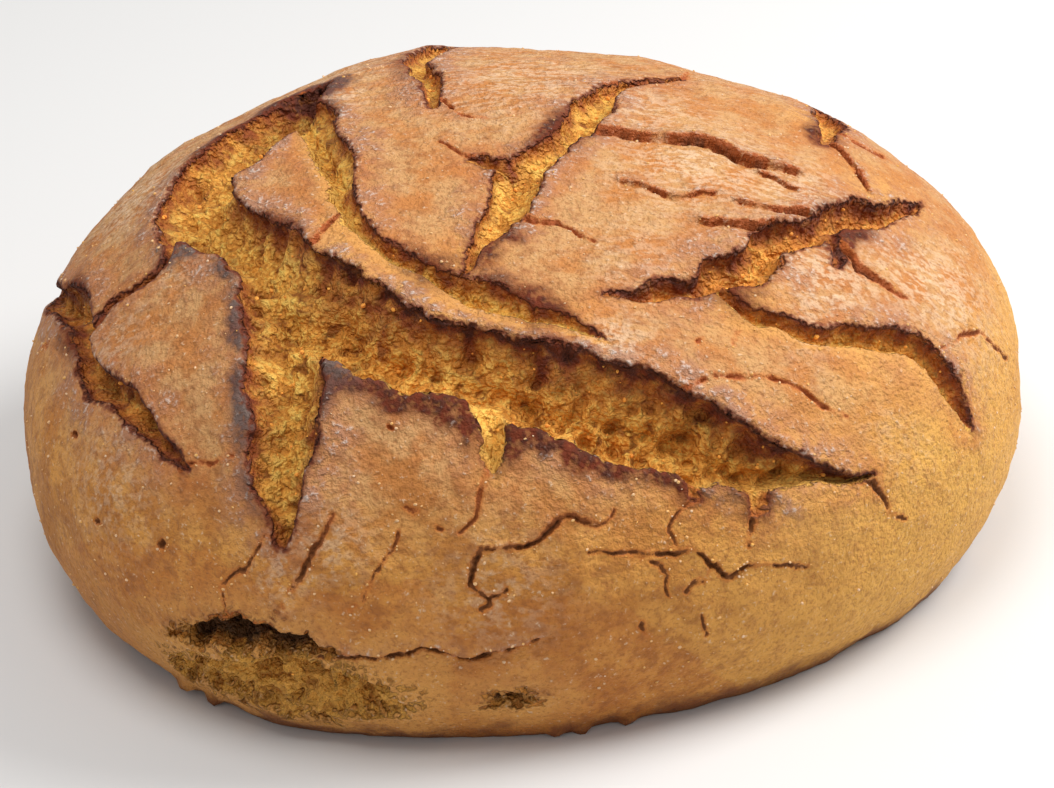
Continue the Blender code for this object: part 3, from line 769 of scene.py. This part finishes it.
def patterns_at(place):
    """What the colours follow: the skin's attributes, and patterns of meal, baking and crumb."""
    tree = place.id_data
    at = SimpleNamespace(height=add(tree, "ShaderNodeSeparateXYZ", None, {"Vector": place}).outputs["Z"])
    for name in LOOK_FIELDS:
        setattr(at, name, add(tree, "ShaderNodeAttribute", {"attribute_name": name}).outputs["Fac"])
    at.meal, at.grit = use(NOISE, place, per(0.9), 2.0, 0.65), use(NOISE, place, per(1.5), 1.0, 0.55)
    at.mottle = use(NOISE, place, per(2.8), 2.0, 0.55)
    at.blotch = use(NOISE, place, per(9), 3.0, 0.55)
    at.bake = use(NOISE, place, per(34), 2.0, 0.55)
    at.grains = use(PLUS, at.meal, use(SCALED, at.grit, 0.6))

    links = {"Vector": place, "Rotation": STREAK_TURN, "Scale": STREAK_SCALE}
    along_folds = add(tree, "ShaderNodeMapping", None, links).outputs["Vector"]
    at.streak = use(NOISE, along_folds, per(1.6), 2.0, 0.6)
    streaks = use(PLUS, at.streak, use(SCALED, at.grit, 0.5))
    at.floury = use(TIMES, at.flour, use(REMAP, streaks, 0.66, 0.86, 0.0, 1.1))
    at.charred = use(TIMES, at.char, use(REMAP, at.grit, 0.3, 0.62, 0.75, 1.25))

    links = {"Vector": place, "Scale": per(2.0), "Detail": 1.0}
    swirl = add(tree, "ShaderNodeTexNoise", None, links)
    links = {0: swirl.outputs["Color"], 1: CRUMB_SWIRL, 2: place}
    bent = add(tree, "ShaderNodeVectorMath", {"operation": "MULTIPLY_ADD"}, links).outputs["Vector"]
    at.cells = use(CELLS, bent, per(3.2))
    at.gaps = use(PLUS, use(SCALED, at.cells, 0.65), use(SCALED, use(CELLS, bent, per(1.3)), 0.95))
    # The crumb's lumps and gaps, which set its painted light and painted shade.
    bulge = use(PLUS, at.lump, use(REMAP, at.mottle, 0.3, 0.7, -0.4, 0.4))
    at.raised = use(MINUS, bulge, use(SCALED, at.gaps, 1.6))
    at.far_in = use(SCALED, at.edge_mm, -1.0)
    at.torn = use(PLUS, at.edge_mm, use(REMAP, at.grit, 0.3, 0.7, -0.4, 0.4))
    return at


def crust_colour(at, look):
    """The crust and its flour: orange on top, ochre down the sides, deeper in patches and near the splits."""
    patch = use(REMAP, at.blotch, 0.4, 0.62)
    top = use(MIXED, patch, look.top_tan, look.top_orange)
    side = use(MIXED, patch, look.side_ochre, look.side_brown)
    side = use(MIXED, use(TIMES, at.golden, use(REMAP, at.bake, 0.3, 0.6, 0.6, 1.0)), side, look.side_gold)
    glow = use(TIMES, use(REMAP, at.edge_mm, 9.0, 0.5, 0.0, 0.75), use(REMAP, at.mottle, 0.3, 0.6, 0.4, 1.0))
    shade = use(TIMES, use(REMAP, at.mottle, 0.46, 0.72, 0.0, 0.6), use(REMAP, at.golden, 0.0, 1.0, 1.0, 0.5))
    soft = use(TIMES, use(REMAP, at.edge_mm, 4.0, 0.2, 0.0, 0.8), use(REMAP, at.wall, 0.3, 0.05))
    bare = use(MINUS, 1.0, use(TIMES, at.stretched, 0.7))
    return layered(
        use(MIXED, at.side, top, side),
        (glow, look.crust_glow),
        (shade, look.crust_shade),
        (use(TIMES, at.stretched, use(REMAP, at.mottle, 0.35, 0.6, 0.95, 0.5)), look.crust_stretched),
        (soft, look.crust_stretched),
        (at.floury, look.flour),
        (use(TIMES, use(REMAP, at.grains, 0.94, 1.14, 0.0, 0.7), bare), look.flour),
        (use(REMAP, at.meal, 0.5, 0.3, 0.0, 0.5), look.crust_shade),
    )


def lipped(crust, at, look):
    """The crust with its lips: dull with flour and white grains, or charred, and ending in a brown line."""
    film = use(TIMES, at.frost, use(REMAP, use(PLUS, at.mottle, at.blotch), 0.8, 1.15, 0.3, 1.3))
    white = use(TIMES, use(REMAP, film, 0.05, 0.7), use(REMAP, at.grains, 0.82, 1.06, 0.0, 0.7))
    burnt = use(MIXED, use(REMAP, at.mottle, 0.35, 0.65), look.lip_brown, look.lip_mauve)
    burnt = use(MIXED, use(TIMES, at.ashen, use(REMAP, at.grit, 0.35, 0.6, 0.6, 1.0)), burnt, look.lip_ash)
    specks = use(TIMES, use(REMAP, at.grains, 0.9, 1.04, 0.0, 0.35), use(REMAP, at.mottle, 0.52, 0.66))
    return layered(
        crust,
        (use(TIMES, film, 0.85), look.lip_film),
        (white, look.lip_frost),
        (at.charred, burnt),
        (use(TIMES, specks, at.char), look.lip_frost),
        (use(TIMES, use(REMAP, at.torn, 1.1, 0.2), use(REMAP, at.wall, 0.05, 0.4, 0.0, 0.9)), look.lip_brown),
    )


def crumb_colour(at, look):
    """The crumb: golden, with painted light, yellow, on its lumps and painted shade, brown, in its creases
    and pores; yellow where it tore open last, and browner where a high lip shades it, as painted shade.
    """
    ripe = use(REMAP, at.fresh, 0.1, 1.0)
    well_in = use(REMAP, use(PLUS, at.far_in, at.fresh), 1.0, 5.0)
    yellow = use(TIMES, use(REMAP, at.raised, -1.0, 0.1, 0.1, 0.95), well_in)
    pits = use(TIMES, use(REMAP, at.cells, 0.5, 0.8), use(REMAP, at.mottle, 0.47, 0.6, 0.0, 0.9))
    return layered(
        # Browner where fresh is low: partly painted shade under an overhanging lip.
        use(MIXED, ripe, look.crumb_brown, look.crumb_gold),
        # Painted shade darkens the creases; painted light makes the raised lumps yellower.
        (use(REMAP, at.raised, -0.4, -1.6, 0.0, 0.85), look.crumb_shade),
        (use(TIMES, yellow, use(REMAP, ripe, 0.0, 1.0, 0.4, 1.0)), look.crumb_yellow),
        (use(REMAP, at.grit, 0.54, 0.7, 0.0, 0.5), look.crumb_yellow),
        (use(REMAP, at.grains, 0.72, 0.58, 0.0, 0.5), look.crumb_shade),
        # Painted shade: the pits between the crumb's cells and its pores are darkened as holes in shadow.
        (pits, look.pore),
        (use(TIMES, at.hole, 0.8), look.pore),
    )


def walled(crumb, at, look):
    """The crumb with its walls: burnt under a high lip and darkened there as painted shadow, roasted further
    under it as painted shade, bright at a low edge, and damp at the foot, with painted shade in its creases
    there and inside the hollows.
    """
    roast = use(TIMES, use(REMAP, at.roast, 0.2, 0.95, 0.0, 0.9), use(REMAP, at.mottle, 0.3, 0.62, 0.5, 1.15))
    bright_rim = use(TIMES, use(REMAP, at.far_in, 3.2, 0.6, 0.0, 0.55), use(REMAP, at.wall, 0.3, 0.08))
    burnt = use(MIXED, use(REMAP, at.wall, 0.7, 1.0), look.wall_burnt_shaded, look.wall_charred_shaded)
    damp = use(REMAP, at.height, 36 * MM, 26 * MM, 0.0, 0.75)
    damp = use(TIMES, damp, use(REMAP, at.mottle, 0.3, 0.6, 0.6, 1.0))
    # Painted shade inside the hollows at the foot, darker further in.
    hollow_shade = use(TIMES, use(REMAP, at.fresh, 0.0, -0.8, 0.0, 0.95), use(REMAP, at.far_in, 0.0, 0.5))
    return layered(
        crumb,
        # Roasted crumb beside the crust, reaching further under a high lip as painted shade.
        (roast, look.crumb_roast),
        (use(TIMES, bright_rim, use(REMAP, at.fresh, 0.0, 0.4)), look.crumb_yellow),
        # The burnt wall under the lips, darkened further as painted shadow.
        (use(TIMES, at.wall, use(REMAP, at.mottle, 0.3, 0.62, 0.75, 1.35)), burnt),
        (damp, look.crumb_foot),
        # Painted shade in the creases of the crumb at the foot.
        (use(TIMES, damp, use(REMAP, at.raised, -0.5, -1.5)), look.pore),
        (hollow_shade, look.hollow),
    )


def cracked(colour, at, look):
    """The skin with its fine cracks, brown with painted shadow and darker painted shade at the bottom of the
    wider ones, with a warm edge, and with the rim that the oven floor browned.
    """
    cut = use(PLUS, at.crack_mm, use(REMAP, at.meal, 0.3, 0.7, -0.14, 0.14))
    # Painted shadow in the fine cracks, darker where they are deepest.
    cleft_shadow = use(MIXED, at.side, look.crack_top_shadow, look.crack)
    cleft_shadow = use(MIXED, use(REMAP, at.crack_mm, -0.1, -0.6, 0.0, 0.8), cleft_shadow, look.crack_deep_shade)
    low = use(PLUS, at.height, use(REMAP, at.blotch, 0.3, 0.7, -3 * MM, 3 * MM))
    return layered(
        colour,
        (use(REMAP, cut, 0.9, 0.2, 0.0, 0.5), look.crumb_roast),
        (use(REMAP, cut, 0.3, 0.06, 0.0, 0.95), cleft_shadow),
        (use(REMAP, low, 7 * MM, 0.5 * MM, 0.0, 0.85), look.foot),
    )


def fine_grain(at):
    """The normal of the finest relief: meal and streaks on the crust, lumps and gaps in the crumb."""
    crust = use(PLUS, at.grains, use(SCALED, at.mottle, 1.3))
    crust = use(SCALED, crust, use(REMAP, at.frost, 0.0, 0.8, 0.8, 1.3))
    crust = use(PLUS, crust, use(SCALED, use(SCALED, at.streak, at.flour), 0.5))
    crumb = use(MINUS, use(SCALED, at.grains, 1.3), use(SCALED, at.gaps, 1.5))
    height = use(PLUS, crust, use(SCALED, use(MINUS, crumb, crust), use(REMAP, at.torn, 0.3, -0.3)))
    links = {"Strength": 0.95, "Distance": 0.9 * MM, "Height": height}
    return add(height.id_data, "ShaderNodeBump", None, links).outputs["Normal"]


def crust_material(look):
    """Baked maize dough. Dry heat browns the raised crust and chars its lips, and what tears open
    late stays a golden, porous crumb. Flour dusted on before baking lies pale on the plates."""
    material, tree, shader = new_material("baked maize crust and crumb")
    at = patterns_at(add(tree, "ShaderNodeTexCoord").outputs["Object"])
    crust = lipped(crust_colour(at, look), at, look)
    crumb = walled(crumb_colour(at, look), at, look)
    colour = cracked(use(MIXED, use(REMAP, at.torn, -0.12, 0.12), crumb, crust), at, look)
    tree.links.new(colour, shader.inputs["Base Color"])
    tree.links.new(fine_grain(at), shader.inputs["Normal"])
    rough = use(REMAP, use(PLUS, at.floury, at.charred), 0.0, 1.0, 0.66, 0.88)
    tree.links.new(rough, shader.inputs["Roughness"])
    shader.inputs["Specular IOR Level"].default_value = 0.3
    return material


def grain_material(name, pale, deep):
    """Dry broken meal: matt, each grain a little lighter or darker than the next."""
    material, tree, shader = new_material(name)
    place = add(tree, "ShaderNodeTexCoord").outputs["Object"]
    shade = use(NOISE, place, per(1.4), 2.0, 0.5)
    links = {"Value": shade, "From Min": 0.35, "From Max": 0.65}
    share = add(tree, "ShaderNodeMapRange", None, links).outputs[0]
    tree.links.new(use(MIXED, share, pale, deep), shader.inputs["Base Color"])
    bump = add(tree, "ShaderNodeBump", None, {"Strength": 0.5, "Distance": 0.2 * MM, "Height": shade})
    tree.links.new(bump.outputs["Normal"], shader.inputs["Normal"])
    shader.inputs["Roughness"].default_value = 0.7
    return material


def tint(name, hex_colour, words):
    return bpy.props.FloatVectorProperty(
        name=name, description=words, subtype="COLOR", size=3, min=0, max=1, default=linear(hex_colour)
    )


class LoafSettings(bpy.types.PropertyGroup):
    """What a user of the loaf would change."""

    flour_amount: bpy.props.FloatProperty(
        name="Flour", description="How thickly flour lies on the crust",
        default=0.8, min=0, max=1, subtype="FACTOR",
    )
    grit_count: bpy.props.IntProperty(
        name="Grit", description="Grains of coarse meal on the crust",
        default=GRIT_COUNT, min=0, max=6000,
    )
    crumb_count: bpy.props.IntProperty(
        name="Crumbs", description="Loose crumbs in the splits and at the torn foot",
        default=CRUMB_COUNT, min=0, max=2000,
    )
    top_tan: tint("Top tan", "#c2915c", "Crust of the plates on top")
    top_orange: tint("Top orange", "#ba773a", "Deeper baked patches of the top")
    side_ochre: tint("Side ochre", "#cf9042", "Crust of the sides")
    side_brown: tint("Side brown", "#b87832", "Deeper baked patches of the sides")
    side_gold: tint("Side gold", "#d9a24c", "The palest, yellowest side")
    crust_glow: tint("Crust glow", "#b46629", "The crust's deeper orange near a split")
    crust_stretched: tint("Stretched crust", "#d5994e", "Smooth crust that stretched late")
    crust_shade: tint("Crust shade", "#925624", "Fine dark mottling of the crust")
    flour: tint("Flour", "#dabb9b", "Flour baked on to the crust")
    lip_film: tint("Lip film", "#a8795e", "The dull film of flour on the crust's lips")
    lip_frost: tint("Frosted lip", "#d1bfb4", "White grains of flour on the crust's lips")
    lip_brown: tint("Brown lip", "#6a2a10", "Browned lips of the crust")
    lip_mauve: tint("Mauve lip", "#4c2415", "Charred lips of the crust")
    lip_ash: tint("Ashen lip", "#6c5b54", "Charred lips that have turned ashen")
    # Browner crumb where fresh is low, which includes painted shade under an overhanging lip.
    crumb_brown: tint("Brown crumb", "#ea9238", "The coarsest, driest crumb")
    crumb_gold: tint("Golden crumb", "#fcb248", "Crumb in the middle of a split")
    crumb_yellow: tint("Yellow crumb", "#ffd268", "The palest lumps of the crumb")
    # Painted shade: darkens the crumb's creases, and its fine grain.
    crumb_shade: tint("Shaded crumb", "#c07420", "Creases of the crumb")
    crumb_roast: tint("Roasted crumb", "#bd6624", "Crumb beside the crust")
    # Painted shade: the dark of the crumb's pits and pores, and of the creases at the foot.
    pore: tint("Pore", "#8f5014", "The crumb's pores")
    # Painted shadow over burnt crust: the walls just under the lips.
    wall_burnt_shaded: tint("Burnt wall", "#773217", "The wall just under a brown lip")
    wall_charred_shaded: tint("Charred wall", "#57291a", "The wall just under a charred lip")
    crumb_foot: tint("Foot crumb", "#d3923a", "The damp crumb low on the loaf")
    # Painted shade: the dark inside of the hollows at the foot.
    hollow: tint("Hollow", "#422408", "The inside of the hollows at the foot")
    # Painted shadow: the colours inside the fine cracks, darkest at the bottom of the wider ones.
    crack: tint("Crack", "#75421a", "Fine cracks")
    crack_top_shadow: tint("Top crack", "#9c4c1c", "Fine cracks in the plates on top")
    crack_deep_shade: tint("Deep crack", "#4a2410", "The bottom of the wider cracks")
    foot: tint("Foot", "#784224", "The browned rim of the base")


class LOAF_OT_form_loaf(bpy.types.Operator):
    """Form the loaf with its split crust and crumb"""

    bl_idname = "loaf.form_loaf"
    bl_label = "Form loaf"

    def execute(self, context):
        look = context.scene.loaf_look
        noise.seed_set(WANDER_SEED)
        bm, known = refined_sphere(1.0)
        for depth in (0.0, WALL_FOOT):
            known = cut_along(bm, known, depth)
        for vert, place in zip(bm.verts, known.place):
            vert.co = place
        bearing = np.arctan2(known.point[:, 1], known.point[:, 0])
        to_right = 0.5 + 0.5 * np.cos(bearing - math.radians(PALEST_BEARING))
        looks = {
            "edge_mm": np.clip(known.edge / MM, -15, 15) * known.crisp,
            "crack_mm": np.clip(known.crack / MM, -3, 6),
            "flour": look.flour_amount * np.clip(spread(known.point, FLOURED) - known.stretched, 0, 1),
            "side": 1 - smooth_step(known.upright, 0.25, 0.75),
            "golden": smooth_step(to_right, 0.76, 0.99),
        }
        for name in MEASURED_FIELDS:
            looks[name] = getattr(known, name)
        for name, values in looks.items():
            layer = bm.verts.layers.float.new(name)
            for vert, value in zip(bm.verts, values):
                vert[layer] = value
        cut_flat_base(bm)
        mesh = bpy.data.meshes.new("loaf_skin")
        bm.to_mesh(mesh)
        bm.free()
        mesh.shade_smooth()
        piece = new_object("loaf_skin", mesh, crust_material(look))
        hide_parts("loaf")
        return {"FINISHED"}


def scatter(name, count, seed, least, most, wanted, material):
    """Adds grains of uneven size on the loaf's skin, at seeded places that the wanted test takes."""
    rng = random.Random(seed)
    noise.seed_set(seed)
    skin = bpy.data.objects["loaf_skin"].data
    edge, crack = np.zeros(len(skin.vertices)), np.zeros(len(skin.vertices))
    skin.attributes["edge_mm"].data.foreach_get("value", edge)
    skin.attributes["crack_mm"].data.foreach_get("value", crack)
    total = bmesh.new()
    placed = 0
    batch = bmesh.new()
    while placed < count:
        vert = skin.vertices[rng.randrange(len(skin.vertices))]
        if crack[vert.index] < 0.4 or not wanted(vert.co, edge[vert.index]):
            continue
        radius = least + (most - least) * rng.random() ** 2
        turn = Vector((rng.uniform(-1, 1), rng.uniform(-1, 1), rng.uniform(-1, 1))).to_track_quat("Z", "Y")
        squash = Matrix.Diagonal((1.0, rng.uniform(0.6, 1.0), rng.uniform(0.5, 0.8), 1.0))
        place = Matrix.Translation(vert.co + vert.normal * 0.15 * radius) @ turn.to_matrix().to_4x4() @ squash
        bmesh.ops.create_icosphere(batch, subdivisions=1, radius=radius, matrix=place)
        placed += 1
        if placed % 40 == 0 or placed == count:
            part = bpy.data.meshes.new("batch")
            batch.to_mesh(part)
            total.from_mesh(part)
            bpy.data.meshes.remove(part)
            batch.free()
            batch = bmesh.new()
    for vert in total.verts:
        vert.co += 0.3 * least * noise.noise_vector(vert.co / least)
        vert.co.z = max(vert.co.z, 0.0)
    mesh = bpy.data.meshes.new(name)
    total.to_mesh(mesh)
    total.free()
    batch.free()
    return new_object(name, mesh, material)


class LOAF_OT_scatter_grit(bpy.types.Operator):
    """Scatter grains of coarse meal over the crust"""

    bl_idname = "loaf.scatter_grit"
    bl_label = "Scatter grit"

    def execute(self, context):
        look = context.scene.loaf_look
        material = grain_material("coarse maize meal", look.flour, look.side_gold)

        def wanted(place, edge_mm):
            return edge_mm > 1.0 and place.z > 4 * MM

        scatter("meal_grit", look.grit_count, GRIT_SEED, GRIT_LEAST, GRIT_MOST, wanted, material)
        return {"FINISHED"}


class LOAF_OT_scatter_crumbs(bpy.types.Operator):
    """Scatter loose crumbs in the splits and at the torn foot"""

    bl_idname = "loaf.scatter_crumbs"
    bl_label = "Scatter crumbs"

    def execute(self, context):
        look = context.scene.loaf_look
        material = grain_material("torn maize crumb", look.crumb_gold, look.crumb_brown)

        def wanted(place, edge_mm):
            return edge_mm < -1.0 and place.z > 1 * MM

        scatter("loose_crumbs", look.crumb_count, CRUMB_SEED, CRUMB_LEAST, CRUMB_MOST, wanted, material)
        return {"FINISHED"}


def area_light(name, place, size, power, colour):
    """Adds a round light that faces the loaf."""
    light = bpy.data.lights.new(name, "AREA")
    light.shape = "DISK"
    light.size = size
    light.energy = power
    light.color = colour
    lamp = bpy.data.objects.new(name, light)
    lamp.location = place
    lamp.rotation_euler = (Vector(AIM) - Vector(place)).to_track_quat("-Z", "Y").to_euler()
    bpy.context.scene.collection.objects.link(lamp)


class LOAF_OT_set_stage(bpy.types.Operator):
    """Set up a pale floor, soft studio light and the camera"""

    bl_idname = "loaf.set_stage"
    bl_label = "Set stage"

    def execute(self, context):
        bm = bmesh.new()
        bmesh.ops.create_grid(bm, x_segments=1, y_segments=1, size=3.0)
        mesh = bpy.data.meshes.new("floor")
        bm.to_mesh(mesh)
        bm.free()
        floor = bpy.data.objects.new("floor", mesh)
        context.scene.collection.objects.link(floor)
        material, tree, shader = new_material("pale studio paper")
        shader.inputs["Base Color"].default_value = (FLOOR_GREY, FLOOR_GREY, FLOOR_GREY, 1)
        shader.inputs["Roughness"].default_value = 0.9
        shader.inputs["Specular IOR Level"].default_value = 0.1
        mesh.materials.append(material)

        world = bpy.data.worlds.new("studio")
        world.use_nodes = True
        background = world.node_tree.nodes["Background"]
        background.inputs["Color"].default_value = (1.0, 1.0, 1.0, 1)
        background.inputs["Strength"].default_value = WORLD_STRENGTH
        context.scene.world = world
        for name, settings in LIGHTS.items():
            area_light(name, *settings)

        elevation = math.radians(CAMERA_ELEVATION)
        back = Vector((0.0, -math.cos(elevation), math.sin(elevation)))
        camera = bpy.data.cameras.new("camera")
        camera.sensor_width = 36.0
        camera.lens = CAMERA_LENS
        camera.clip_start = 0.01
        holder = bpy.data.objects.new("camera", camera)
        turn = back.to_track_quat("Z", "Y").to_matrix().to_4x4()
        roll = Matrix.Rotation(math.radians(-CAMERA_ROLL), 4, "Z")
        holder.matrix_world = Matrix.Translation(Vector(AIM) + back * CAMERA_DISTANCE) @ turn @ roll
        context.scene.collection.objects.link(holder)
        context.scene.camera = holder
        context.scene.view_settings.view_transform = "Standard"
        return {"FINISHED"}


class LOAF_PT_panel(bpy.types.Panel):
    """The loaf's settings and steps"""

    bl_idname = "LOAF_PT_panel"
    bl_label = "Corn bread loaf"
    bl_space_type = "VIEW_3D"
    bl_region_type = "UI"
    bl_category = "Loaf"

    def draw(self, context):
        column = self.layout.column()
        for name in LoafSettings.__annotations__:
            column.prop(context.scene.loaf_look, name)
        for step in STEPS:
            column.operator(step.bl_idname)


STEPS = (LOAF_OT_form_loaf, LOAF_OT_scatter_grit, LOAF_OT_scatter_crumbs, LOAF_OT_set_stage)
CLASSES = (LoafSettings, *STEPS, LOAF_PT_panel)


def register():
    for cls in CLASSES:
        bpy.utils.register_class(cls)
    bpy.types.Scene.loaf_look = bpy.props.PointerProperty(type=LoafSettings)


def unregister():
    del bpy.types.Scene.loaf_look
    for cls in reversed(CLASSES):
        bpy.utils.unregister_class(cls)


def main():
    register()
    bpy.ops.loaf.form_loaf()
    bpy.ops.loaf.scatter_grit()
    bpy.ops.loaf.scatter_crumbs()
    bpy.ops.loaf.set_stage()


if __name__ == "__main__":
    main()
